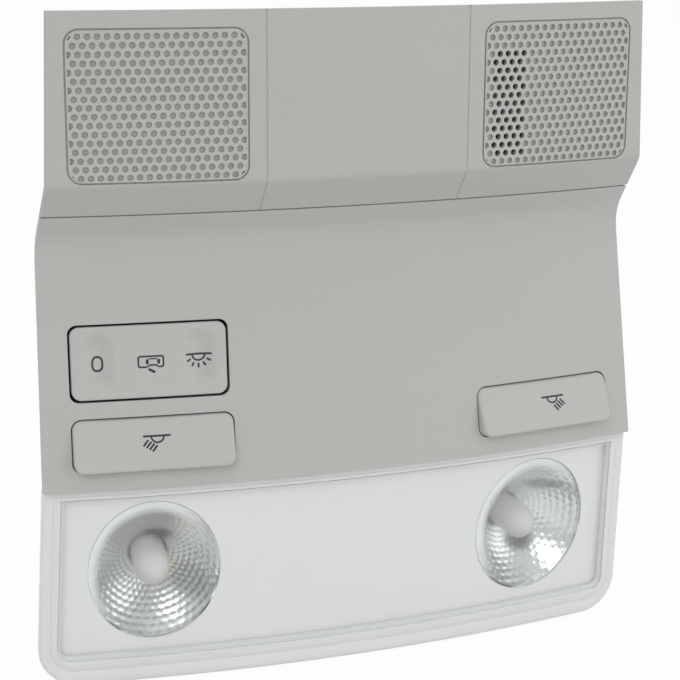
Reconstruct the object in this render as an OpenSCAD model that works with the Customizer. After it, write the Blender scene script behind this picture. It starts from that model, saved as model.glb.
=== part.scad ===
// Overhead console of a car: dome light, two reading lights, mode rocker and two grilles.
// It stands upright as in the picture: X to the viewer's right, Z up to the grilles, front to -Y.
// The origin lies midway between the two roof screws, on the plane that rests on the roof frame.

/* [Front outline] */
// Half width of the front at its top edge
top_half_w = 84.7; // [84:0.1:88]
// Half width of the front at the bottom of the lens
bottom_half_w = 90.8; // [89:0.1:93]
// Height of the top edge
top_z = 136.7; // [136.3:0.1:142]
// Height of the joint between the upper panels and the bezel
seam_z = 83; // [82:0.1:84]
// Height of the joint between the bezel and the lens
lens_joint_z = 8; // [7.5:0.1:8.4]
// Height of the bottom edge of the lens
bottom_z = -51.8; // [-54:0.1:-50.5]
// Distance of the upright joints from the middle
side_seam_x = 28.7; // [26:0.1:31]

/* [Front profile] */
// Radius of the crown across the front
crown_r = 491; // [450:1:700]
// Height where the upper panels bend back
bend_z = 92.2; // [91:0.1:92.6]
// Radius of that bend
bend_r = 3; // [1:0.5:6]
// Height of the valley below the panels
valley_z = 74.4; // [73:0.1:77]
// Depth of the valley behind the crown
valley_depth = 13.9; // [11:0.1:14.5]
// Radius of the valley
valley_r = 12; // [6:0.5:16]
// Depth of the bezel's lower edge
bezel_end_depth = 3.3; // [2.8:0.1:4]
// Depth of the lens at its top edge
lens_top_depth = 5.5; // [4.8:0.1:6]
// Height of the belly, where the lens turns in
belly_z = -33.6; // [-38:0.1:-28]
// Depth of the lens at the belly
belly_depth = 10; // [9:0.1:10.6]
// Depth of the lens at its bottom edge
lens_bottom_depth = 11.6; // [11:0.1:13]

/* [Walls and gaps] */
// Thickness of the moulded skins
skin = 2.5; // [2.2:0.1:2.8]
// Thickness of the housing walls
wall = 2; // [1.6:0.1:2.4]
// Width of the open joints between the skins
seam_gap = 0.4; // [0.3:0.05:0.6]
// Clearance between pieces that seat on each other
seat_gap = 0.3; // [0.2:0.05:0.4]
// Width of the dark gap round each control
control_gap = 0.7; // [0.65:0.05:0.9]
// Radial clearance of a pivot pin in its ear
pin_clear = 0.05; // [0.03:0.01:0.08]
// Depth of the return flanges behind the front
flange_depth = 7; // [5.5:0.5:8]

/* [Grilles] */
// Distance of each grille's middle from the end of the top edge
grille_margin = 27.6; // [27:0.1:28]
// Height of each grille's middle
grille_z = 112.4; // [112:0.1:112.8]
// Width over the groove round the grille
grille_w = 47.5; // [47:0.1:48.4]
// Height over the groove round the grille
grille_h = 39.9; // [39.5:0.1:40.4]
// Corner radius of the groove
grille_r = 4; // [2:0.1:6]
// Width of the groove
groove_w = 0.5; // [0.4:0.1:0.8]
// Depth of the groove
groove_depth = 0.6; // [0.3:0.1:0.9]
// Distance from the groove's outer edge to where the holes are cut off
field_inset = 0.9; // [0.8:0.1:1.4]
// Distance from the groove's outer edge to the first hole's middle
first_hole_x = 1.1; // [0.8:0.1:2]
// How far the field of holes sits below the grille's middle
row_shift = 0.23; // [0:0.01:0.4]
// Spacing of the holes along a row
hole_pitch = 2.5; // [2.4:0.05:2.7]
// Spacing of the rows
row_pitch = 2.26; // [2.2:0.02:2.3]
// Number of rows
hole_rows = 17; // [9:2:17]
// Diameter of a hole
hole_d = 1.7; // [1.4:0.05:1.9]
// Depth of a blind hole
hole_depth = 0.75; // [0.5:0.05:1.4]

/* [Mode rocker] */
// Distance of the controls' middle from the lens's bottom corner, across
control_margin = 32.1; // [31.8:0.1:32.4]
// Height of the rocker's middle
rocker_z = 42.6; // [42.4:0.1:43.5]
// Width of the rocker's opening
rocker_w = 43.7; // [42:0.1:44.6]
// Height of the rocker's opening
rocker_h = 21.1; // [20:0.1:21.4]
// Corner radius of the rocker's opening
rocker_r = 2.6; // [1.5:0.1:4]
// Depth of the two finger hollows
hollow_depth = 0.6; // [0.3:0.1:0.8]
// Distance of a finger hollow from the rocker's middle
hollow_x = 13.8; // [12:0.1:15]
// Width of a finger hollow
hollow_w = 9; // [7:0.5:10]
// Length of the straight part of a finger hollow
hollow_l = 9; // [6:0.5:11]

/* [Reading buttons] */
// Height of a button's middle
button_z = 20.5; // [20.2:0.1:20.8]
// Width of a button's opening
button_w = 44.7; // [43:0.1:45.4]
// Height of a button's opening
button_h = 14.9; // [14.4:0.1:15.1]
// Corner radius of a button's opening
button_r = 3; // [1.5:0.1:4]
// How far a button stands out at its lower edge
button_rise = 3; // [2:0.1:3.4]
// Depth of the pivots behind the face
pivot_depth = 4.8; // [4.6:0.1:5]
// Radius of a pivot pin
pin_r = 1; // [0.8:0.05:1.1]

/* [Lens and lamps] */
// Wall of the clear lens
lens_wall = 2.5; // [2.2:0.1:2.8]
// Depth of the lens's side walls
lens_wall_depth = 11; // [9:0.5:12]
// Distance of the lens's side walls from the edge of its face
lens_step = 1.8; // [1.6:0.1:2]
// Distance of the lens's bottom wall from that edge
lens_foot_step = 0.6; // [0.5:0.1:1]
// Radius of the lens's bottom corners
lens_corner_r = 11; // [8:0.5:14]
// Radius of the lens's bottom edge
lens_foot_r = 3; // [1.5:0.5:4]
// Radius of the lens's top edge
lens_head_r = 1.5; // [0.5:0.5:2]
// Width of the clear border round the milky diffuser
clear_border = 4.8; // [4:0.1:5.4]
// Extra width of that border along the bottom
border_foot = 2.7; // [1.5:0.1:3]
// Thickness of the diffuser
diffuser_t = 1; // [0.8:0.1:1.2]
// Distance of each reading lamp's middle from the lens's bottom corner, across
lamp_margin = 32.5; // [32:0.1:33]
// Height of the lamps' middle
lamp_z = -20.6; // [-20.8:0.1:-20.2]
// Width of a lamp's round window in the diffuser
window_d = 37.4; // [35:0.2:37.6]
// Lean of the window's cut, which makes it taller than wide
window_lean = 30; // [20:1:32]
// Inner radius of a reflector at its rim
bowl_r = 21; // [19.5:0.1:21.2]
// Depth of a reflector bowl
bowl_depth = 15; // [13:0.5:15.5]
// Radius of a glass bulb
bulb_r = 5; // [4:0.1:5.2]

/* [Housing and mount] */
// Distance of the housing's sides from the edge of the front
housing_inset = 6; // [5.5:0.1:6.5]
// Distance between the two roof screws
screw_spacing = 56; // [52:0.5:58]
// Radius of a roof screw hole
screw_hole_r = 2.25; // [2:0.05:2.6]
// Distance from the back of the bulb holders to the roof seat
rear_space = 5.08; // [4.8:0.01:7]
// Depth of the switch bay's back behind the crown
bay_depth = 32; // [31.4:0.1:33]
// Thickness of the circuit board
board_t = 1.6; // [1.2:0.1:2]

/* [Hidden] */
$fn = 48;
eps = 0.01;
sweep = 24;
far = 90;

fascia_grey = [0.68, 0.69, 0.67];
cap_grey = [0.73, 0.74, 0.72];
milk_white = [0.88, 0.89, 0.88];
clear_glass = [0.85, 0.9, 0.92, 0.4];
bright_metal = [0.82, 0.83, 0.85];
switch_black = [0.12, 0.12, 0.13];
housing_grey = [0.35, 0.36, 0.36];
board_green = [0.1, 0.35, 0.2];
contact_brass = [0.8, 0.65, 0.3];

bezel_low_z = lens_joint_z + seam_gap / 2;
bezel_top_z = seam_z - seam_gap / 2;
panel_low_z = seam_z + seam_gap / 2;
lens_top_z = lens_joint_z - seam_gap / 2;
flange_inset = 1.5;
flange_t = 2;
lip_t = 1.6;
lip_reach = 4;
lip_back = skin + seat_gap + lip_t;
bezel_slope = atan((valley_depth - bezel_end_depth) / (valley_z - lens_joint_z));
lens_slope = -atan((belly_depth - lens_top_depth) / (lens_top_z - belly_z));
lens_stack = lens_wall + 2 * seat_gap + diffuser_t;
lens_back_depth = lens_top_depth + lens_wall_depth + 0.4;
lens_inner_low_z = bottom_z + lens_wall;
lens_side_wall = 1.9;
lens_inner_r = lens_corner_r - lens_step - lens_side_wall - 2;
housing_low_z = bottom_z + lens_wall + 2;
housing_top_z = top_z - flange_inset - flange_t - 2;
partition_z = bezel_low_z + flange_t + 0.4;
bay_low_z = partition_z + wall;
drop_z = seam_z + lip_reach + 1.5;
control_drop = 9.5;
bezel_flange_depth = control_drop - seat_gap;
grille_x = top_half_w - grille_margin;
control_x = bottom_half_w - control_margin;
lamp_x = bottom_half_w - lamp_margin;
button_cap_w = button_w - 2 * control_gap;
button_cap_h = button_h - 2 * control_gap;
rocker_cap_w = rocker_w - 2 * control_gap;
rocker_cap_h = rocker_h - 2 * control_gap;
button_pivot_s = button_cap_h / 2 - 1.7;
ear_t = 1.8;
ear_gap = 0.3;
ear_reach = 2.2;
cap_depth = 6;
cap_wall = 1.5;
box_floor_y = -7;
box_floor_t = 2;
box_inset = housing_inset + wall + seat_gap;
box_low_z = housing_low_z + wall + seat_gap;
box_top_z = lens_top_z - lens_wall - seat_gap - 0.4;
bowl_wall = 1;
rim_depth = lens_stack + 0.9;
neck_r = bulb_r + 0.6;
trough_r = 21;
trough_half = 33;
festoon_half = 18;
ferrule_r = 3.5;
ferrule_end = 4.5;
glass_end = 8;
bulb_length = 14;
bulb_foot = 3;
pinch_w = 2 * bulb_r - 1.2;
pinch_t = 2.4;
pinch_l = 5;
lug_w = 13;
lug_t = 2;
lug_h = 5;
strip_t = 0.8;
strip_w = 6;
strip_reach = 3.5;
strip_foot = 4.8;
holder_back = 3;
holder_reach = 3.8;
lamp_stack = rim_depth + bowl_depth + holder_back + holder_reach;
screw_post_x = control_x - button_w / 2 - 14.3;
post_high_z = 62;
post_low_z = 20;
post_r = 3.5;
board_top_z = post_high_z + 8;
pilot_r = 1.25;
screw_reach = 8;
screw_head_r = 3;
screw_head_h = 2;
mic_x = grille_x - 16.3;
mic_z = grille_z - 2.5;
mic_w = 13;
mic_h = 30;
mic_depth = 6;
mic_wall = 1.2;
capsule_r = 4.7;
capsule_h = 2.7;
socket_z = 42;
socket_w = 24;
socket_h = 11;
socket_wall = 1.4;
socket_end_y = -2;
pin_pitch = 2.5;
pin_columns = 8;
pin_row_z = 1.9;
pin_w = 0.64;
clip_x = 50;
clip_z = 120;
clip_w = 10;
clip_t = 0.8;
clip_foot = 3.4;
clip_bulge = 1.6;
tower_t = 3;
tower_w = clip_w + 2;
tower_y = -3;
plunger_r = 1.5;
plunger_s = -3.5;
plunger_z = button_z + plunger_s;
switch_w = 13;
switch_h = 7;
switch_pocket = 7;
plunger_back = 5;
pusher_front = 1.5;
pusher_back = 8.5;
stem_depth = 9.5;
stem_pocket = 7;
rocker_body_w = 32;
rocker_body_h = 13;
arm_x = 40;
arm_w = 10;
clip_lift = 0.2;

// Half width of the front at a height
function half_w(z) = top_half_w + (bottom_half_w - top_half_w) * (top_z - z) / (top_z - bottom_z);
function unit(v) = v / norm(v);

// Points of the arc of radius r that rounds the corner b between a and c
function corner(a, b, c, r, n = 5) =
    let (u = unit(a - b), v = unit(c - b), half = acos(u * v) / 2)
    let (m = b + unit(u + v) * r / sin(half))
    let (s = b + u * r / tan(half) - m, e = b + v * r / tan(half) - m)
    let (start = atan2(s.y, s.x), turn = (atan2(e.y, e.x) - start + 540) % 360 - 180)
    [for (i = [0:n]) m + r * [cos(start + turn * i / n), sin(start + turn * i / n)]];

// The front's section at the centre line, as heights and depths behind the crown
bezel_foot = [lens_joint_z, bezel_end_depth];
valley = [valley_z, valley_depth];
bend = [bend_z, 0];
crest = [top_z, 0];
front_line = concat([bezel_foot], corner(bezel_foot, valley, bend, valley_r),
                    corner(valley, bend, crest, bend_r), [crest]);

// The lens's section
belly_r = 60;
lens_foot = [bottom_z, lens_bottom_depth];
belly = [belly_z, belly_depth];
lens_head = [lens_top_z, lens_top_depth];
lens_line = concat([lens_foot], corner(lens_foot, belly, lens_head, belly_r), [lens_head]);

// Depth of the front surface behind the crown, away from the middle
function face_depth(line, x, z) = crown_r - sqrt(pow(crown_r - lookup(z, line), 2) - x * x);

// Planes across the depth: the seat follows from the lamps, all else from the front or the seat
seat_depth = face_depth(lens_line, lamp_x, lamp_z) + lamp_stack + rear_space;
axis_y = crown_r - seat_depth;
bay_back_y = -seat_depth + bay_depth;
bay_floor_y = bay_back_y - wall;
board_front_y = bay_floor_y - board_t;
festoon_y = -seat_depth + 23;
trough_y = festoon_y - 7.5;
rocker_face_y = face_depth(front_line, control_x, rocker_z) - seat_depth;
rocker_body_front_y = rocker_face_y + 7.6;
button_face_y = face_depth(front_line, control_x, button_z) - seat_depth;
switch_front_y = button_face_y + 10.1;
plunger_front_y = button_face_y + pusher_back * cos(bezel_slope);

// The stretch of a section between two heights, shifted back
function along(line, low, high, shift = 0) = [
    for (p = concat([[low, lookup(low, line)]],
                    [for (q = line) if (q.x > low + eps && q.x < high - eps) q],
                    [[high, lookup(high, line)]])) [p.x, p.y + shift]];
function backwards(list) = [for (i = [len(list) - 1:-1:0]) list[i]];

// Solid of revolution about the upright crown axis, from heights and depths
module revolved(points) {
    translate([0, axis_y, 0])
        rotate([0, 0, -90 - sweep / 2])
            rotate_extrude(angle = sweep, $fn = 720)
                polygon([for (p = points) [crown_r - p.y, p.x]]);
}

module band(line, low, high, near, back) {
    revolved(concat(along(line, low, high, near), backwards(along(line, low, high, back))));
}

module behind(line, low, high, near) {
    revolved(concat(along(line, low, high, near), [[high, far], [low, far]]));
}

// Straight prism along Y with the outline of its 2D children
module through() {
    translate([0, 60, 0])
        rotate([90, 0, 0])
            linear_extrude(140)
                children();
}

module slab(low, high, inset) {
    polygon([[-half_w(low) + inset, low], [half_w(low) - inset, low],
             [half_w(high) - inset, high], [-half_w(high) + inset, high]]);
}

module round_rect(w, h, r) {
    square([w - 2 * r, h], center = true);
    square([w, h - 2 * r], center = true);
    for (x = [-1, 1], y = [-1, 1])
        translate([x * (w / 2 - r), y * (h / 2 - r)])
            circle(r);
}

// Frame on the front surface: X across, Z up the slope, Y into the piece
module at_face(line, x, z, slope) {
    r = crown_r - lookup(z, line);
    translate([0, axis_y, z])
        rotate([0, 0, asin(x / r)])
            translate([0, -r, 0])
                rotate([-slope, 0, 0])
                    children();
}

module inward(near, back) {
    translate([0, back, 0])
        rotate([90, 0, 0])
            linear_extrude(back - near)
                children();
}

module y_rod(r, from, to) {
    translate([0, to, 0])
        rotate([90, 0, 0])
            cylinder(h = to - from, r = r);
}

module x_rod(r, length) {
    rotate([0, 90, 0])
        cylinder(h = length, r = r, center = true);
}

module at_rocker() {
    at_face(front_line, -control_x, rocker_z, bezel_slope)
        children();
}

module at_button(side) {
    at_face(front_line, side * control_x, button_z, bezel_slope)
        children();
}

module at_lamp(side) {
    at_face(lens_line, side * lamp_x, lamp_z, lens_slope)
        children();
}

// Places of the four posts that the housing is screwed to
module at_posts() {
    for (x = [-1, 1], z = [post_low_z, post_high_z])
        translate([x * screw_post_x, 0, z])
            children();
}

module rocker_ears() {
    ear_mid = rocker_h / 2 + ear_gap + ear_t / 2;
    for (s = [-1, 1])
        translate([0, (skin - 0.5 + pivot_depth + ear_reach) / 2, s * ear_mid])
            cube([6, pivot_depth + ear_reach - skin + 0.5, ear_t], center = true);
}

module button_ears() {
    ear_mid = button_w / 2 + ear_gap + ear_t / 2;
    for (s = [-1, 1])
        translate([s * ear_mid, (skin - 0.5 + pivot_depth + ear_reach) / 2, button_pivot_s])
            cube([ear_t, pivot_depth + ear_reach - skin + 0.5, 5], center = true);
}

// Lower bezel with the control openings, pivot ears, flanges, lip and screw posts
module fascia() {
    color(fascia_grey)
        difference() {
            union() {
                intersection() {
                    band(front_line, bezel_low_z, bezel_top_z, 0, skin);
                    through() slab(bezel_low_z, bezel_top_z, 0);
                }
                difference() {
                    intersection() {
                        band(front_line, bezel_low_z, bezel_top_z, skin - 0.5, bezel_flange_depth);
                        through() slab(bezel_low_z, bezel_top_z, flange_inset);
                    }
                    through() slab(bezel_low_z + flange_t, top_z, flange_inset + flange_t);
                }
                intersection() {
                    union() {
                        band(front_line, bezel_top_z - lip_reach, bezel_top_z, skin - 0.5, lip_back);
                        band(front_line, bezel_top_z - lip_reach, seam_z + lip_reach,
                             skin + seat_gap, lip_back);
                    }
                    through() slab(bezel_low_z, top_z, flange_inset + flange_t + 1);
                }
                at_rocker() rocker_ears();
                at_button(-1) button_ears();
                at_button(1) button_ears();
                intersection() {
                    at_posts() y_rod(post_r, -far, bay_floor_y);
                    behind(front_line, bezel_low_z, bezel_top_z, skin - 0.5);
                }
            }
            at_rocker() {
                inward(-5, skin + 2) round_rect(rocker_w, rocker_h, rocker_r);
                translate([0, pivot_depth, 0])
                    cylinder(h = rocker_h + 12, r = pin_r + pin_clear, center = true);
            }
            for (side = [-1, 1])
                at_button(side) {
                    inward(-5, skin + 2) round_rect(button_w, button_h, button_r);
                    translate([0, pivot_depth, button_pivot_s])
                        x_rod(pin_r + pin_clear, button_w + 12);
                }
            at_posts() y_rod(pilot_r, bay_floor_y - 1.5 * screw_reach, bay_floor_y + 1);
        }
}

// Outline of one side panel
module side_panel_outline(low, high, inset) {
    polygon([[side_seam_x + seam_gap / 2, low], [half_w(low) - inset, low],
             [half_w(high) - inset, high], [side_seam_x + seam_gap / 2, high]]);
}

// Place of a hole about the grille's middle, with the rows counted from the top
function hole_place(row, i) =
    [first_hole_x - grille_w / 2 + hole_pitch * (i + (row % 2) / 2),
     row_pitch * ((hole_rows - 1) / 2 - row) - row_shift];

// Staggered holes of one grille, cut off at the edge of the field
module hole_field() {
    intersection() {
        round_rect(grille_w - 2 * field_inset, grille_h - 2 * field_inset, grille_r - field_inset);
        for (row = [0:hole_rows - 1], i = [0:grille_w / hole_pitch])
            translate(hole_place(row, i))
                circle(hole_d / 2, $fn = 24);
    }
}

// The block of holes that goes right through to the microphone
module sound_holes() {
    for (row = [3:hole_rows - 2], i = [1:4])
        translate(hole_place(row, i))
            circle(hole_d / 2, $fn = 24);
}

// Side panel with its return flanges, drawn on the right
module side_panel() {
    intersection() {
        band(front_line, panel_low_z, top_z, 0, skin);
        through() side_panel_outline(panel_low_z, top_z, 0);
    }
    difference() {
        intersection() {
            band(front_line, panel_low_z, top_z - flange_inset, skin - 0.5, flange_depth);
            through() side_panel_outline(panel_low_z, top_z - flange_inset, flange_inset);
        }
        through()
            side_panel_outline(0, top_z - flange_inset - flange_t, flange_inset + flange_t);
    }
}

// Framing groove and blind holes of one grille
module grille_cuts(side) {
    intersection() {
        band(front_line, panel_low_z, top_z, -5, groove_depth);
        through()
            translate([side * grille_x, grille_z])
                difference() {
                    round_rect(grille_w, grille_h, grille_r);
                    round_rect(grille_w - 2 * groove_w, grille_h - 2 * groove_w, grille_r - groove_w);
                }
    }
    intersection() {
        band(front_line, panel_low_z, top_z, -5, hole_depth);
        through()
            translate([side * grille_x, grille_z])
                hole_field();
    }
}

module left_grille_panel() {
    color(fascia_grey)
        difference() {
            mirror([1, 0, 0]) side_panel();
            grille_cuts(-1);
        }
}

module right_grille_panel() {
    color(fascia_grey)
        difference() {
            side_panel();
            grille_cuts(1);
            through()
                translate([grille_x, grille_z])
                    sound_holes();
        }
}

// Plain middle panel with lips that pass behind its neighbours
module centre_blank_panel() {
    edge_x = side_seam_x - seam_gap / 2;
    lip_low_z = seam_z + lip_reach + 0.5;
    lip_high_z = housing_top_z - wall - 0.5;
    color(fascia_grey) {
        intersection() {
            band(front_line, panel_low_z, top_z, 0, skin);
            through()
                translate([-edge_x, panel_low_z])
                    square([2 * edge_x, top_z - panel_low_z]);
        }
        intersection() {
            band(front_line, lip_low_z, lip_high_z, skin - 0.5, lip_back);
            through()
                for (x = [-edge_x, edge_x - flange_t])
                    translate([x, lip_low_z])
                        square([flange_t, lip_high_z - lip_low_z]);
        }
        intersection() {
            band(front_line, lip_low_z, lip_high_z, skin + seat_gap, lip_back);
            through()
                for (x = [-edge_x - 3, edge_x - flange_t])
                    translate([x, lip_low_z])
                        square([flange_t + 3, lip_high_z - lip_low_z]);
        }
        intersection() {
            band(front_line, top_z - flange_inset - flange_t, top_z - flange_inset,
                 skin - 0.5, flange_depth);
            through()
                translate([-edge_x, panel_low_z])
                    square([2 * edge_x, top_z - panel_low_z]);
        }
    }
}

// Everything behind the skins, stepped back behind the controls and the lens's top wall
module housing_space() {
    revolved(concat(
        along(lens_line, bottom_z, lens_top_z - lens_wall - seat_gap, lens_stack),
        [[lens_top_z - lens_wall - seat_gap, lens_back_depth], [bezel_low_z, lens_back_depth]],
        along(front_line, bezel_low_z, drop_z, control_drop),
        along(front_line, drop_z, top_z, skin + seat_gap),
        [[top_z, far], [bottom_z, far]]));
}

// Prism along X from depths and heights
module across(points) {
    rotate([90, 0, 90])
        linear_extrude(2 * far + 20, center = true)
            polygon(points);
}

// Block between two heights and back to a plane
module housing_block(low, high, inset, back) {
    intersection() {
        through() slab(bottom_z, top_z, inset);
        across([[-far, low], [back, low], [back, high], [-far, high]]);
    }
}

// Rear shell with a deep lamp bay below and a shallow switch bay above
module rear_housing() {
    screw_x = screw_spacing / 2;
    color(housing_grey)
        difference() {
            union() {
                difference() {
                    intersection() {
                        housing_space();
                        through() slab(bottom_z, top_z, housing_inset);
                        across([[-far, housing_low_z], [0, housing_low_z], [0, bay_low_z],
                                [bay_back_y, bay_low_z], [bay_back_y, housing_top_z],
                                [-far, housing_top_z]]);
                    }
                    housing_block(housing_low_z + wall, partition_z, housing_inset + wall, -wall);
                    housing_block(bay_low_z, housing_top_z - wall, housing_inset + wall, bay_floor_y);
                }
                for (x = [-screw_x, screw_x])
                    translate([x, 0, 0]) {
                        y_rod(6, box_floor_y + box_floor_t, -eps);
                        y_rod(4, box_floor_y - 0.5, -eps);
                    }
                for (x = [-clip_x, clip_x])
                    translate([x - tower_w / 2, bay_floor_y + 1, clip_z - tower_t / 2])
                        cube([tower_w, tower_y - bay_floor_y - 1, tower_t]);
            }
            for (x = [-screw_x, screw_x])
                translate([x, 0, 0])
                    y_rod(screw_hole_r, -20, 5);
            translate([0, 0, socket_z])
                inward(-20, 5) square([socket_w + 2 * seat_gap, socket_h + 2 * seat_gap], center = true);
            at_posts() y_rod(pilot_r + 0.25, bay_floor_y - 5, bay_back_y + 5);
        }
}

// Outline of the lens, inset and with rounded bottom corners
module lens_outline(inset, low, high, r) {
    side = half_w(low + r) - inset;
    polygon([[-side, low + r], [-side + r, low], [side - r, low], [side, low + r],
             [half_w(high) - inset, high], [-half_w(high) + inset, high]]);
    for (x = [-1, 1])
        translate([x * (side - r), low + r])
            circle(r);
}

// Clear lens: crowned face, side walls set in from its edge and two snap arms at the bottom
module lens() {
    foot_back = [bottom_z, lens_bottom_depth + lens_wall_depth];
    head_back = [lens_top_z, lens_top_depth + lens_wall_depth];
    arm_depth = lens_bottom_depth + lens_wall_depth;
    color(clear_glass) {
        difference() {
            intersection() {
                revolved(concat([foot_back], corner(foot_back, lens_foot, belly, lens_foot_r),
                                corner(lens_foot, belly, lens_head, belly_r),
                                corner(belly, lens_head, head_back, lens_head_r), [head_back]));
                union() {
                    intersection() {
                        band(lens_line, bottom_z, lens_top_z, -5, lens_wall + 0.5);
                        through() lens_outline(0, bottom_z, lens_top_z, lens_corner_r);
                    }
                    through()
                        lens_outline(lens_step, bottom_z + lens_foot_step, lens_top_z,
                                     lens_corner_r - lens_step);
                }
            }
            intersection() {
                behind(lens_line, lens_inner_low_z, lens_top_z - lens_wall, lens_wall);
                through()
                    lens_outline(lens_step + lens_side_wall, lens_inner_low_z, lens_top_z - lens_wall,
                                 lens_inner_r);
            }
        }
        intersection() {
            revolved([[lens_inner_low_z - 0.5, arm_depth - 5], [lens_inner_low_z - 0.5, arm_depth + 5],
                      [housing_low_z - seat_gap, arm_depth + 5],
                      [housing_low_z - seat_gap, arm_depth - 5]]);
            through()
                for (x = [-arm_x, arm_x])
                    translate([x, bottom_z])
                        square([arm_w, 20], center = true);
        }
    }
}

// Leaning cylinder that cuts a window taller than wide
module window_cut(side) {
    at_lamp(side)
        rotate([window_lean, 0, 0])
            y_rod(window_d / 2, -20, 25);
}

module diffuser() {
    low = bottom_z + clear_border + border_foot;
    high = lens_top_z - lens_wall - seat_gap;
    color(milk_white)
        difference() {
            intersection() {
                band(lens_line, low, high, lens_wall + seat_gap, lens_wall + seat_gap + diffuser_t);
                through() lens_outline(clear_border, low, high, lens_corner_r - clear_border);
            }
            window_cut(-1);
            window_cut(1);
        }
}

module box_block(low, high, inset, back) {
    intersection() {
        housing_block(low, high, inset, back);
        behind(lens_line, bottom_z, lens_top_z, lens_stack);
    }
}

// White light box: tray, collars round the reflectors and a curved trough behind the dome bulb
module light_box() {
    inner = box_inset + 1.6;
    collar_r = bowl_r + bowl_wall + 0.6;
    color(milk_white)
        difference() {
            union() {
                difference() {
                    box_block(box_low_z, box_top_z, box_inset, box_floor_y + box_floor_t);
                    box_block(box_low_z + 1.6, box_top_z - 1.6, inner, box_floor_y);
                }
                intersection() {
                    box_block(box_low_z, box_top_z, box_inset, box_floor_y + 1);
                    for (side = [-1, 1])
                        at_lamp(side)
                            y_rod(collar_r + 1.5, -10, 40);
                    translate([-lamp_x - 10, -far, -far])
                        cube([2 * lamp_x + 20, 2 * far, 2 * far]);
                }
                intersection() {
                    box_block(box_low_z, box_top_z, box_inset, box_floor_y + 1);
                    difference() {
                        translate([0, trough_y, lamp_z]) x_rod(trough_r + 1.5, 2 * trough_half);
                        translate([0, trough_y, lamp_z]) x_rod(trough_r, 2 * trough_half + 10);
                    }
                }
            }
            for (side = [-1, 1])
                at_lamp(side) {
                    y_rod(collar_r, -10, rim_depth + bowl_depth + 1);
                    y_rod(neck_r + bowl_wall + 1.8, 0, 40);
                }
            for (x = [-1, 1])
                translate([x * screw_spacing / 2, 0, 0])
                    y_rod(4 + seat_gap, -40, 5);
        }
}

// Depth of the bowl's inside at a radius, from the formula of a parabola
function bowl_height(r) = bowl_depth * r * r / (bowl_r * bowl_r);

// Metallised bowl whose rings follow a parabola
module reflector(side) {
    rings = 9;
    radii = [for (i = [0:rings]) neck_r + (bowl_r - neck_r) * i / rings];
    inside = [for (r = radii) [r, bowl_height(r)]];
    outside = [for (r = backwards(radii)) [r + bowl_wall, bowl_height(r) - 0.3]];
    low = bowl_height(neck_r) - 2;
    at_lamp(side)
        translate([0, rim_depth + bowl_depth, 0])
            rotate([90, 0, 0])
                rotate_extrude()
                    polygon(concat([[neck_r, low]], inside, outside, [[neck_r + bowl_wall, low]]));
}

// Wedge bulb: round glass envelope with a flat pinched base
module reading_bulb(side) {
    base_y = rim_depth + bowl_depth + holder_back;
    at_lamp(side) {
        y_rod(bulb_r, base_y - bulb_length, base_y - bulb_foot);
        translate([0, base_y - bulb_length, 0])
            sphere(bulb_r);
        translate([0, base_y - 1, 0])
            cube([pinch_w, pinch_l, pinch_t], center = true);
    }
}

// Twist-in holder in the opening of the light box's floor, with a slot for the bulb's base
module bulb_holder(side) {
    base_y = rim_depth + bowl_depth + holder_back;
    at_lamp(side)
        difference() {
            union() {
                y_rod(neck_r + bowl_wall, base_y - 1.6, base_y + holder_reach);
                translate([0, base_y + 1.2, 0])
                    cube([lug_w, lug_t, lug_h], center = true);
            }
            translate([0, base_y - 1, 0])
                cube([pinch_w + 0.1, pinch_l + 0.1, pinch_t + 0.1], center = true);
            y_rod(bulb_r + 0.1, base_y - 5, base_y - 0.8);
        }
}

// Glass tube with a metal ferrule at each end
module dome_bulb() {
    half_line = [[0, festoon_half], [1.5, festoon_half], [ferrule_r, festoon_half - ferrule_end],
                 [ferrule_r + 0.5, festoon_half - ferrule_end - 0.5],
                 [bulb_r, festoon_half - glass_end]];
    color(clear_glass)
        translate([0, festoon_y, lamp_z])
            rotate([0, 90, 0])
                rotate_extrude()
                    polygon(concat(half_line, [for (p = backwards(half_line)) [p.x, -p.y]]));
}

// Brass strip that stands on the trough and hooks round the tip of the dome bulb
module dome_clip(side) {
    foot_y = trough_y + trough_r - 0.35;
    tip_x = festoon_half - 1.8;
    color(contact_brass)
        difference() {
            union() {
                translate([side * tip_x - strip_t / 2, festoon_y - strip_reach, lamp_z - strip_w / 2])
                    cube([strip_t, foot_y - festoon_y + strip_reach, strip_w]);
                translate([side * (tip_x + 2) - strip_foot / 2, foot_y - strip_t, lamp_z - strip_w / 2])
                    cube([strip_foot, strip_t, strip_w]);
            }
            translate([side * festoon_half, festoon_y, lamp_z])
                x_rod(2.6, 10);
        }
}

// Board on the bay floor, cleared round the screw posts
module circuit_board() {
    color(board_green)
        difference() {
            translate([0, 0, (bay_low_z + board_top_z) / 2 + seat_gap])
                inward(board_front_y, bay_floor_y)
                    square([2 * (half_w(seam_z) - housing_inset - wall - 2),
                            board_top_z - bay_low_z], center = true);
            at_posts() y_rod(post_r + 0.5, board_front_y - 5, bay_back_y);
        }
}

// Body behind the rocker, with a pocket for the rocker's stem
module rocker_switch_body() {
    color(switch_black)
        difference() {
            translate([-control_x, 0, rocker_z])
                inward(rocker_body_front_y, board_front_y)
                    round_rect(rocker_body_w, rocker_body_h, 1);
            at_rocker()
                translate([0, stem_depth - 0.5, 0])
                    cube([stem_pocket, stem_pocket, stem_pocket], center = true);
        }
}

module switch_body(side) {
    color(switch_black)
        translate([side * control_x, 0, plunger_z])
            difference() {
                inward(switch_front_y, board_front_y) round_rect(switch_w, switch_h, 0.8);
                y_rod(plunger_r + pin_clear, switch_front_y - 1, switch_front_y + switch_pocket);
            }
}

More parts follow.
